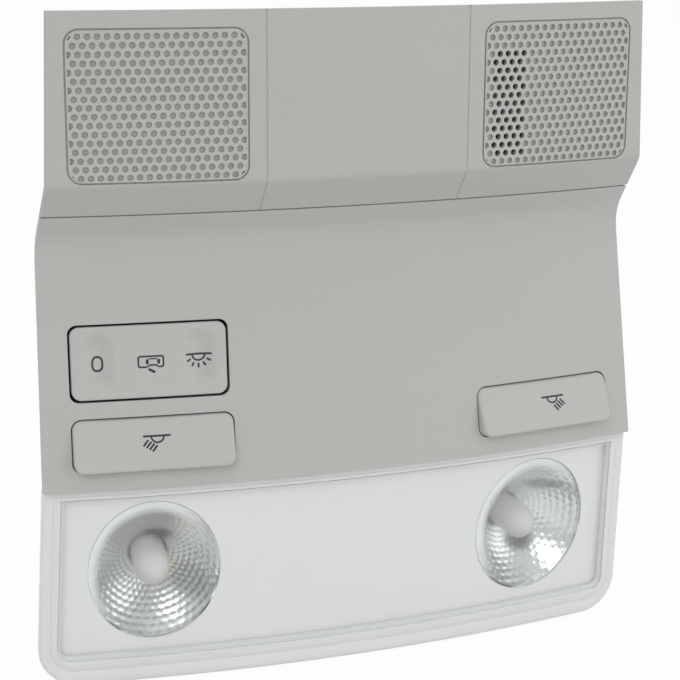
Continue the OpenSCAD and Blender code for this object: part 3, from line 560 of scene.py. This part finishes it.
def stroke(*corners, step=0.08):
    # points along straight pieces, closer than a stroke's half width
    out = []
    for a, b in zip(corners[:-1], corners[1:]):
        count = max(int(math.dist(a, b) / step), 2)
        t = np.linspace(0, 1, count, endpoint=False)[:, None]
        out.append(np.array(a) * (1 - t) + np.array(b) * t)
    out.append(np.array([corners[-1]], float))
    return np.concatenate(out)


def arc(centre, radius, start, end, count=40):
    t = np.radians(np.linspace(start, end, count))
    return np.stack([centre[0] + radius * np.cos(t), centre[1] + radius * np.sin(t)], -1)


rocker = {"x": -58.7, "z": 42.6, "halfWide": 21.22, "halfHigh": 9.95, "corner": 2.6, "edge": 0.5, "back": 3.2,
          "hollowX": 13.8, "hollowDepth": 1.9, "hollowReach": 5.0, "hollowRise": 4.2, "line": 0.56,
          "zeroAt": (-13.95, -0.28), "carAt": (0.35, -0.15), "lampAt": (13.6, 1.15)}
button = {"x": 58.7, "z": 20.5, "halfWide": 22.0, "halfHigh": 7.12, "corner": 2.6, "edge": 0.9, "back": 5.0,
          "faceRise": -1.4004, "faceSlope": 0.25191, "line": 0.54,
          "leftAt": (0.6, 2.05), "rightAt": (2.5, 2.0)}


def rockerSurface(u, s):
    # the crowned face with two finger hollows: depth times (1 - q^2)^2, where q grows from a hollow's
    # middle line to 1 at its edge
    crown = u * u / (2 * (front["crownR"] - 8.4))
    q = ((np.abs(u) - rocker["hollowX"]) ** 2
         + np.maximum(np.abs(s) - rocker["hollowRise"], 0) ** 2) / rocker["hollowReach"] ** 2
    return crown + rocker["hollowDepth"] * np.maximum(1 - q, 0) ** 2


def buttonSurface(u, s):
    # the button's inclined flat face
    return button["faceRise"] + button["faceSlope"] * s + 0 * u


def zeroMark(centre, line):
    # a narrow figure: a superellipse
    t = np.linspace(0, 2 * math.pi, 72, endpoint=False)
    c, s = np.cos(t), np.sin(t)
    return [(np.stack([centre[0] + 1.35 * np.sign(c) * np.abs(c) ** 0.8,
                       centre[1] + 1.9 * np.sign(s) * np.abs(s) ** 0.75], -1), line, True)]


def carMark(centre, line):
    # a car from above with one door open
    x, y = centre
    outline = np.concatenate([
        stroke((x - 1.0, y - 1.45), (x - 2.9, y - 1.45)),
        arc((x - 2.9, y - 0.95), 0.5, 270, 180, 10), stroke((x - 3.4, y - 0.9), (x - 3.4, y + 0.9)),
        arc((x - 2.9, y + 0.95), 0.5, 180, 90, 10), stroke((x - 2.8, y + 1.45), (x + 2.8, y + 1.45)),
        arc((x + 2.9, y + 0.95), 0.5, 90, 0, 10), stroke((x + 3.4, y + 0.9), (x + 3.4, y - 0.9)),
        arc((x + 2.9, y - 0.95), 0.5, 0, -90, 10), stroke((x + 2.8, y - 1.45), (x + 2.1, y - 1.45))])
    sill = stroke((x - 1.0, y - 1.45), (x - 0.3, y - 0.95), (x + 1.4, y - 0.95), (x + 2.1, y - 1.45))
    roof = stroke((x - 0.6, y + 0.75), (x + 1.7, y + 0.75))
    windscreen = stroke((x - 1.0, y + 0.75), (x - 1.0, y - 0.75))
    rearScreen = stroke((x + 2.1, y + 0.7), (x + 2.1, y - 0.7))
    door = stroke((x - 0.75, y - 1.95), (x + 1.1, y - 3.0))
    return [(path, line * width, False) for path, width in (
        (outline, 0.85), (sill, 0.8), (roof, 0.6), (door, 1.25), (windscreen, 1.4), (rearScreen, 1.4))]


def domeMark(centre, line):
    # a ceiling line, a half dome below it and five rays
    x, y = centre
    out = [(stroke((x - 3.65, y), (x + 3.65, y)), line, False),
           (arc(centre, 1.75, 180, 360), line * 0.9, False)]
    for angle in (-30, -60, -90, -120, -150):
        c, s = math.cos(math.radians(angle)), math.sin(math.radians(angle))
        out.append((stroke((x + 2.5 * c, y + 2.5 * s), (x + 3.85 * c, y + 3.85 * s)), line, False))
    return out


def readingMark(centre, line, side):
    # a ceiling line, a half dome and four rays that lean outwards
    x, y = centre
    out = [(stroke((x - 3.8, y), (x + 3.8, y)), line, False),
           (arc((x - side * 0.2, y), 1.75, 180, 360), line * 0.9, False)]
    for i in range(4):
        a = (x + side * (2.35 - 0.8 * i), y - 0.95 - 0.5 * i)
        out.append((stroke(a, (a[0] + side * 1.45, a[1] - 1.7)), line, False))
    return out


def controlCap(look, surface):
    # a slab with round corners: each ring runs across the face at one height and back behind it; the face
    # drops by e - sqrt(e^2 - (e - d)^2) within the distance e of its edge, where d is the distance left
    wide, high, corner, edge = look["halfWide"], look["halfHigh"], look["corner"], look["edge"]
    heights = -high * np.cos(np.linspace(0, math.pi, 70))
    into = np.clip((np.abs(heights) - high + corner) / corner, 0, 1)
    halves = wide - corner * (1 - np.sqrt(1 - into ** 2))
    share = -np.cos(np.linspace(0, math.pi, 130))
    x = np.concatenate([share, share[::-1]])[None, :] * halves[:, None]
    z = heights[:, None] + 0 * x
    beyondX, beyondZ = np.abs(x) - wide + corner, np.abs(z) - high + corner
    left = corner - np.hypot(np.maximum(beyondX, 0), np.maximum(beyondZ, 0)) - np.minimum(
        np.maximum(beyondX, beyondZ), 0)
    bend = np.clip(1 - left / edge, 0, 1)
    depth = surface(x, z) + edge * (1 - np.sqrt(1 - bend ** 2))
    depth[:, 130:] = look["back"]
    points = np.stack([x, depth, z], -1)
    return points, sweepFaces(points)


def addCap(name, look, surface, matrix, body):
    points, faces = controlCap(look, surface)
    mesh = meshFrom(name, toRow(points, matrix), faces)
    piece = addPiece(name, mesh, made["capPlastic"], body)
    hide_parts(body)


def addMark(name, strokes, surface, matrix, body):
    parts = [ribbon(path, width, closed, surface, matrix) for path, width, closed in strokes]
    points, faces = joined(parts)
    addPiece(name, meshFrom(name, points, faces), made["markPaint"], body)


sides = ((-1, "left"), (1, "right"))
rockerFrame = bezelFrame(rocker["x"], rocker["z"])
buttonFrames = {label: bezelFrame(side * button["x"], button["z"]) for side, label in sides}

for name, draw, place in (("zero_mark", zeroMark, "zeroAt"), ("car_mark", carMark, "carAt"),
                          ("dome_mark", domeMark, "lampAt")):
    addMark(name, draw(rocker[place], rocker["line"]), rockerSurface, rockerFrame, "mode_rocker")
for side, label in sides:
    addMark(label + "_reading_mark", readingMark(button[label + "At"], button["line"], side), buttonSurface,
            buttonFrames[label], label + "_button")
addCap("rocker_cap", rocker, rockerSurface, rockerFrame, "mode_rocker")
for side, label in sides:
    addCap(label + "_button_cap", button, buttonSurface, buttonFrames[label], label + "_button")

print("stage: seams")

seam = {"z": 83.0, "x": 28.7, "half": 0.19, "uprightNear": 0.14, "levelNear": 0.5, "far": 1.1, "endX": 85.6,
        "topZ": 136.3, "bendHeights": (74.4, 92.2, 136.7), "bendDepths": (13.9, 0.0, 0.0)}


def seamLiner(x, z, across, near):
    # a shallow strip that fills a seam: a four-cornered section along the front's own curve,
    # depth = 0 above the bend, rising in a straight line to 13.9 in the valley
    offset = seam["half"] * np.array([-1, 1, 1, -1])[None, :]
    depth = np.array([near, near, seam["far"], seam["far"]])[None, :]
    xx = x[:, None] + (offset if across else 0 * offset)
    zz = z[:, None] + (0 * offset if across else offset)
    depth = depth + np.interp(zz, seam["bendHeights"], seam["bendDepths"])
    y = front["axisY"] - np.sqrt((front["crownR"] - depth) ** 2 - xx ** 2)
    points = np.stack([xx, y, zz], -1)
    faces = sweepFaces(points)
    return points * mm, faces if across else faces[:, ::-1]


def addSeams():
    heights = np.linspace(seam["z"] + 0.3, seam["topZ"], 60)
    runs = [("left_seam", 0 * heights - seam["x"], heights, True, seam["uprightNear"]),
            ("right_seam", 0 * heights + seam["x"], heights, True, seam["uprightNear"]),
            ("level_seam", np.linspace(-seam["endX"], seam["endX"], 90), np.full(90, seam["z"]), False,
             seam["levelNear"])]
    for name, x, z, across, near in runs:
        points, faces = seamLiner(x, z, across, near)
        addPiece(name, meshFrom(name, points, faces), made["panelPlastic"], "console")


addSeams()

print("stage: faceted reflectors")

bowl = {"rim": 5.0, "depth": 15.0, "radius": 21.0, "neck": 5.6, "wall": 1.0, "rings": 11, "facets": 44,
        "pillow": 0.16, "perFacet": 6}


def bowlDepth(r):
    return bowl["depth"] * r * r / bowl["radius"] ** 2


def facetedBowl(side):
    # a parabola of revolution with one small pillow per facet, each ring turned by half a facet
    rows = bowl["rings"] * bowl["perFacet"] + 1
    columns = bowl["facets"] * bowl["perFacet"]
    v = np.linspace(0, bowl["rings"], rows)[:, None]
    w = np.linspace(0, bowl["facets"], columns, endpoint=False)[None, :]
    r = bowl["neck"] + (bowl["radius"] - bowl["neck"]) * v / bowl["rings"] + 0 * w
    ring = np.minimum(np.floor(v), bowl["rings"] - 1)
    a, b = v - ring, (w + 0.5 * (ring % 2)) % 1
    pillow = bowl["pillow"] * (1 - (2 * a - 1) ** 2) * (1 - (2 * b - 1) ** 2)
    angle = 2 * math.pi * w / bowl["facets"]
    inner = np.stack([r * np.cos(angle), bowl["rim"] + bowl["depth"] - bowlDepth(r) - pillow,
                      r * np.sin(angle)], -1)
    lip = np.array([bowl["radius"] + 0.5, bowl["radius"] + bowl["wall"]])[:, None]
    behind = r[::-bowl["perFacet"], :1]
    rr = np.concatenate([lip, behind + bowl["wall"], [[bowl["neck"] + bowl["wall"]], [bowl["neck"]]]])
    yy = np.concatenate([[[bowl["rim"]], [bowl["rim"]]],
                         bowl["rim"] + bowl["depth"] + 0.3 - bowlDepth(behind),
                         [[bowl["rim"] + bowl["depth"] + 0.9]] * 2])
    outer = np.stack([rr * np.cos(angle), yy + 0 * angle, rr * np.sin(angle)], -1)
    points = np.concatenate([inner, outer])
    return toRow(points, lampFrame(side)), gridFaces(len(points), columns, True, True)[:, ::-1]


for side, label in sides:
    points, faces = facetedBowl(side)
    name = label + "_faceted_bowl"
    mesh = meshFrom(name, points, faces)
    piece = addPiece(name, mesh, made[label + "BowlFilm"], "console")
    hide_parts(label + "_reflector")

print("stage: lens, windows and bulbs")

rim = {"side": 5.0, "top": 2.7, "bottom": 7.4, "outerCorner": 11.0, "innerCorner": 4.0, "round": 0.9,
       "thick": 0.8, "ledge": 0.9, "gap": 0.04, "arcPoints": 22, "linePoints": 40}


def outlineRing(share):
    # the lens's outline at a share of the rim's width: rounded corners below, square ones above
    side = rim["side"] * share
    low = front["lensFoot"][0] + rim["bottom"] * share
    high = front["lensHead"][0] - rim["top"] * share
    radius = rim["outerCorner"] + (rim["innerCorner"] - rim["outerCorner"]) * share
    halfLow, halfHigh = halfWidth(low + radius) - side, halfWidth(high) - side
    turn = np.radians(np.linspace(0, 90, rim["arcPoints"]))
    right = np.stack([halfLow - radius + radius * np.sin(turn), low + radius - radius * np.cos(turn)], -1)
    t = np.linspace(0, 1, rim["linePoints"], endpoint=False)[1:, None]
    foot = np.array([-halfLow + radius, low]) * (1 - t) + right[0] * t
    flank = right[-1] * (1 - t) + np.array([halfHigh, high]) * t
    head = np.array([halfHigh, high]) * (1 - t) + np.array([-halfHigh, high]) * t
    left = right[::-1] * [-1, 1]
    return np.concatenate([foot, right, flank, [[halfHigh, high]], head, [[-halfHigh, high]],
                           flank[::-1] * [-1, 1], left])


def lensRim():
    # one closed section carried round the outline: rounded edge, face with a fine line, wall behind
    turn = np.radians(np.linspace(0, 90, 9))
    edge = np.stack([rim["round"] * (1 - np.cos(turn)), rim["round"] * (1 - np.sin(turn))], -1)
    side, ledge, thick = rim["side"], rim["ledge"], rim["thick"]
    section = np.concatenate([
        [[2.6, 11.0], [2.0, 5.5], [0.3, 3.2]], edge,
        [[2.75, 0.0], [2.95, 0.16], [3.15, 0.0], [side - 0.12, 0.0], [side, 0.1],
         [side, thick + 0.05], [side + ledge, thick + 0.05], [side + ledge, 2.6], [4.3, 2.7], [4.2, 11.0]]])
    outer, inner = outlineRing(0), outlineRing(1)
    flat = outer[None] + (inner - outer)[None] * (section[:, :1, None] / rim["side"])
    points = lensPoints(flat[..., 0], flat[..., 1], section[:, 1][:, None])
    return points * mm, gridFaces(len(section), len(outer), True, True)


def slabRings(heights, halves, near, far, columns=60):
    # one ring per height: across the near face and back across the far one
    share = np.linspace(-1, 1, columns)
    x = np.concatenate([share, share[::-1]])[None, :] * halves[:, None]
    z = heights[:, None] + 0 * x
    depth = np.concatenate([np.full(columns, near), np.full(columns, far)])[None, :] + 0 * x
    return x, depth, z


def lensPane():
    # the clear middle: its half width follows the side and, below, a round corner
    low = front["lensFoot"][0] + rim["bottom"] + rim["gap"]
    high = front["lensHead"][0] - rim["top"] - rim["gap"]
    radius = rim["innerCorner"]
    turn = np.radians(np.linspace(4, 90, 14))
    heights = np.concatenate([low + radius * (1 - np.cos(turn)), np.linspace(low + radius, high, 22)[1:]])
    drop = np.clip(1 - (heights - low) / radius, 0, 1)
    halves = halfWidth(heights) - rim["side"] - rim["gap"] - radius * (1 - np.sqrt(1 - drop ** 2))
    x, depth, z = slabRings(heights, halves, 0.0, rim["thick"])
    points = lensPoints(x, z, depth)
    return points * mm, sweepFaces(points)


window = {"halfWide": 18.55, "halfHigh": 21.2, "rise": 1.84, "near": 2.95, "far": 3.6, "lean": 0.6}


def windowDisc():
    # an elliptical pane that fills the leaning hole of the diffuser: half width = a sin t, height = -b cos t
    turn = np.radians(np.linspace(3, 177, 44))
    x, depth, z = slabRings(-window["halfHigh"] * np.cos(turn), window["halfWide"] * np.sin(turn),
                            window["near"], window["far"], 34)
    z = z + window["rise"] + (depth - 3.3) * window["lean"]
    points = np.stack([x, depth, z], -1)
    return points, sweepFaces(points)


def lathe(profile, columns=48):
    # a closed section of (radius, depth) points turned about a lamp's axis
    angle = np.linspace(0, 2 * math.pi, columns, endpoint=False)[None, :]
    r, y = profile[:, :1], profile[:, 1:]
    return (np.stack([r * np.cos(angle), y + 0 * angle, r * np.sin(angle)], -1),
            gridFaces(len(profile), columns, True, True)[:, ::-1])


bulb = {"radius": 5.0, "glass": 0.35, "base": 23.0, "length": 14.0, "foot": 3.0, "coil": 0.75, "turns": 9,
        "wire": 0.22, "coilWidth": 3.4, "coilBack": 9.5}


def bulbGlass():
    # a round ended tube: half circle, straight side, pinched foot, and the same again inside
    r, g = bulb["radius"], bulb["glass"]
    tip, foot = bulb["base"] - bulb["length"], bulb["base"] - bulb["foot"]
    turn = np.radians(np.linspace(0.5, 90, 14))
    outside = np.stack([r * np.sin(turn), tip - r * np.cos(turn)], -1)
    inside = np.stack([(r - g) * np.sin(turn), tip - (r - g) * np.cos(turn)], -1)[::-1]
    return lathe(np.concatenate([outside, [[r, foot]], [[r * 0.7, foot + 1.5]], [[r * 0.7 - g, foot + 1.2]],
                                 [[r - g, foot - 0.2]], inside]))


def tube(path, radius, sides=8):
    # a round wire along a path of points
    ahead = np.gradient(path, axis=0)
    ahead /= np.linalg.norm(ahead, axis=1, keepdims=True)
    side = np.cross(ahead, [0.13, 0.97, 0.2])
    side /= np.linalg.norm(side, axis=1, keepdims=True)
    third = np.cross(ahead, side)
    angle = np.linspace(0, 2 * math.pi, sides, endpoint=False)[None, :, None]
    points = path[:, None] + radius * (side[:, None] * np.cos(angle) + third[:, None] * np.sin(angle))
    return points, sweepFaces(points)


def bulbCoil():
    # a small coil across the bulb on two wires that rise from the base
    t = np.linspace(-1, 1, bulb["turns"] * 16)
    at = bulb["base"] - bulb["coilBack"]
    wind = np.pi * bulb["turns"] * t
    coil = np.stack([bulb["coilWidth"] / 2 * t, at + bulb["coil"] * np.cos(wind),
                     bulb["coil"] * np.sin(wind)], -1)
    parts = [tube(coil, bulb["wire"])]
    for end in (-1, 1):
        foot = np.array([end * 1.2, bulb["base"] - 2.5, 0])
        head = coil[0 if end < 0 else -1]
        run = np.linspace(0, 1, 10)[:, None]
        parts.append(tube(foot + (head - foot) * run, bulb["wire"] * 0.9))
    return joined(parts)


piece = addPiece("lens_rim", meshFrom("lens_rim", *lensRim()), made["lensFrost"], "console")
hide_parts("lens")
addPiece("lens_pane", meshFrom("lens_pane", *lensPane()), made["lensClear"], "console")

for side, label in sides:
    frameHere = lampFrame(side)
    points, faces = windowDisc()
    addPiece(label + "_window", meshFrom(label + "_window", toRow(points, frameHere), faces),
             made["windowBlur"], "console")
    points, faces = bulbGlass()
    piece = addPiece(label + "_bulb_glass", meshFrom(label + "_bulb_glass", toRow(points, frameHere), faces),
                     made["bulbSoft"], "console")
    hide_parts(label + "_reading_bulb")
    points, faces = bulbCoil()
    addPiece(label + "_filament", meshFrom(label + "_filament", toRow(points, frameHere), faces),
             made["filamentWire"], "console")

print("stage: floor, background and light")

studio = {"floorZ": cadBox[0][2] - 0.001, "floorHalf": 6.0, "floorGlow": 0.95,
          "ambient": 0.6, "frontGlow": 0.62,
          "keyAt": (-0.9, -1.3, 1.3), "keySize": 1.1, "keyPower": 8.4,
          "fillAt": (1.3, -1.2, 0.5), "fillSize": 1.2, "fillPower": 6.2,
          "topAt": (0.1, -0.1, 1.6), "topSize": 1.2, "topPower": 4.0}


def whiteSeen(tree):
    # 1 for rays from the camera, in reflections and through clear pieces
    path = tree.nodes.new("ShaderNodeLightPath")
    first = tree.nodes.new("ShaderNodeMath")
    first.operation = "MAXIMUM"
    second = tree.nodes.new("ShaderNodeMath")
    second.operation = "MAXIMUM"
    tree.links.new(path.outputs["Is Camera Ray"], first.inputs[0])
    tree.links.new(path.outputs["Is Glossy Ray"], first.inputs[1])
    tree.links.new(first.outputs[0], second.inputs[0])
    tree.links.new(path.outputs["Is Transmission Ray"], second.inputs[1])
    return second.outputs[0]


def makeWorld():
    world = bpy.data.worlds.new("studioWorld")
    world.use_nodes = True
    scene.world = world
    tree = world.node_tree
    tree.nodes.clear()
    out = tree.nodes.new("ShaderNodeOutputWorld")
    dim = tree.nodes.new("ShaderNodeBackground")
    dim.inputs["Color"].default_value = (1, 1, 1, 1)
    dim.inputs["Strength"].default_value = studio["ambient"]
    seen = tree.nodes.new("ShaderNodeBackground")
    seen.inputs["Color"].default_value = (1, 1, 1, 1)
    place = tree.nodes.new("ShaderNodeTexCoord")
    parts = tree.nodes.new("ShaderNodeSeparateXYZ")
    tree.links.new(place.outputs["Generated"], parts.inputs[0])
    ahead = tree.nodes.new("ShaderNodeMapRange")
    ahead.inputs["From Min"].default_value = -0.9
    ahead.inputs["From Max"].default_value = 0.1
    ahead.inputs["To Min"].default_value = studio["frontGlow"]
    ahead.inputs["To Max"].default_value = 1
    tree.links.new(parts.outputs["Y"], ahead.inputs["Value"])
    tree.links.new(ahead.outputs["Result"], seen.inputs["Strength"])
    mix = tree.nodes.new("ShaderNodeMixShader")
    tree.links.new(whiteSeen(tree), mix.inputs[0])
    tree.links.new(dim.outputs[0], mix.inputs[1])
    tree.links.new(seen.outputs[0], mix.inputs[2])
    tree.links.new(mix.outputs[0], out.inputs["Surface"])


def makeFloor():
    half, z = studio["floorHalf"], studio["floorZ"]
    t = np.linspace(-half, half, 9)
    x, y = np.meshgrid(t, t, indexing="ij")
    points = np.stack([x, y, 0 * x + z], -1)
    mesh = meshFrom("floor", points, gridFaces(9, 9, False, False)[:, ::-1])
    floor = bpy.data.objects.new("floor", mesh)
    scene.collection.objects.link(floor)
    material = bpy.data.materials.new("floorPaper")
    material.use_nodes = True
    tree = material.node_tree
    tree.nodes.clear()
    out = tree.nodes.new("ShaderNodeOutputMaterial")
    paper = tree.nodes.new("ShaderNodeBsdfDiffuse")
    paper.inputs["Color"].default_value = (0.92, 0.92, 0.92, 1)
    glow = tree.nodes.new("ShaderNodeEmission")
    share = tree.nodes.new("ShaderNodeMath")
    share.operation = "MULTIPLY"
    share.inputs[1].default_value = studio["floorGlow"]
    tree.links.new(whiteSeen(tree), share.inputs[0])
    mix = tree.nodes.new("ShaderNodeMixShader")
    tree.links.new(share.outputs[0], mix.inputs[0])
    tree.links.new(paper.outputs[0], mix.inputs[1])
    tree.links.new(glow.outputs[0], mix.inputs[2])
    tree.links.new(mix.outputs[0], out.inputs["Surface"])
    mesh.materials.append(material)


def addLamp(name, place, size, power):
    data = bpy.data.lights.new(name, "AREA")
    data.shape = "SQUARE"
    data.size = size
    data.energy = power
    light = bpy.data.objects.new(name, data)
    scene.collection.objects.link(light)
    aim = Vector((0, -0.02, 0.04)) - Vector(place)
    light.matrix_world = Matrix.Translation(place) @ aim.to_track_quat("-Z", "Y").to_matrix().to_4x4()


makeWorld()
makeFloor()
for name in ("key", "fill", "top"):
    addLamp(name + "Lamp", studio[name + "At"], studio[name + "Size"], studio[name + "Power"])

print("stage: camera")

view = {"place": (-0.171813, -0.489187, 0.166447), "right": (0.939207, -0.343310, 0.005315),
        "up": (0.078784, 0.230547, 0.969867), "ahead": (0.334190, 0.910487, -0.243578), "lens": 94.81}
cameraData = bpy.data.cameras.new("camera")
cameraData.sensor_width = 36
cameraData.lens = view["lens"]
cameraData.clip_start = 0.01
camera = bpy.data.objects.new("camera", cameraData)
scene.collection.objects.link(camera)
turn = Matrix((view["right"], view["up"], [-a for a in view["ahead"]])).transposed().to_4x4()
camera.matrix_world = Matrix.Translation(view["place"]) @ turn
scene.camera = camera
scene.view_settings.view_transform = "Standard"
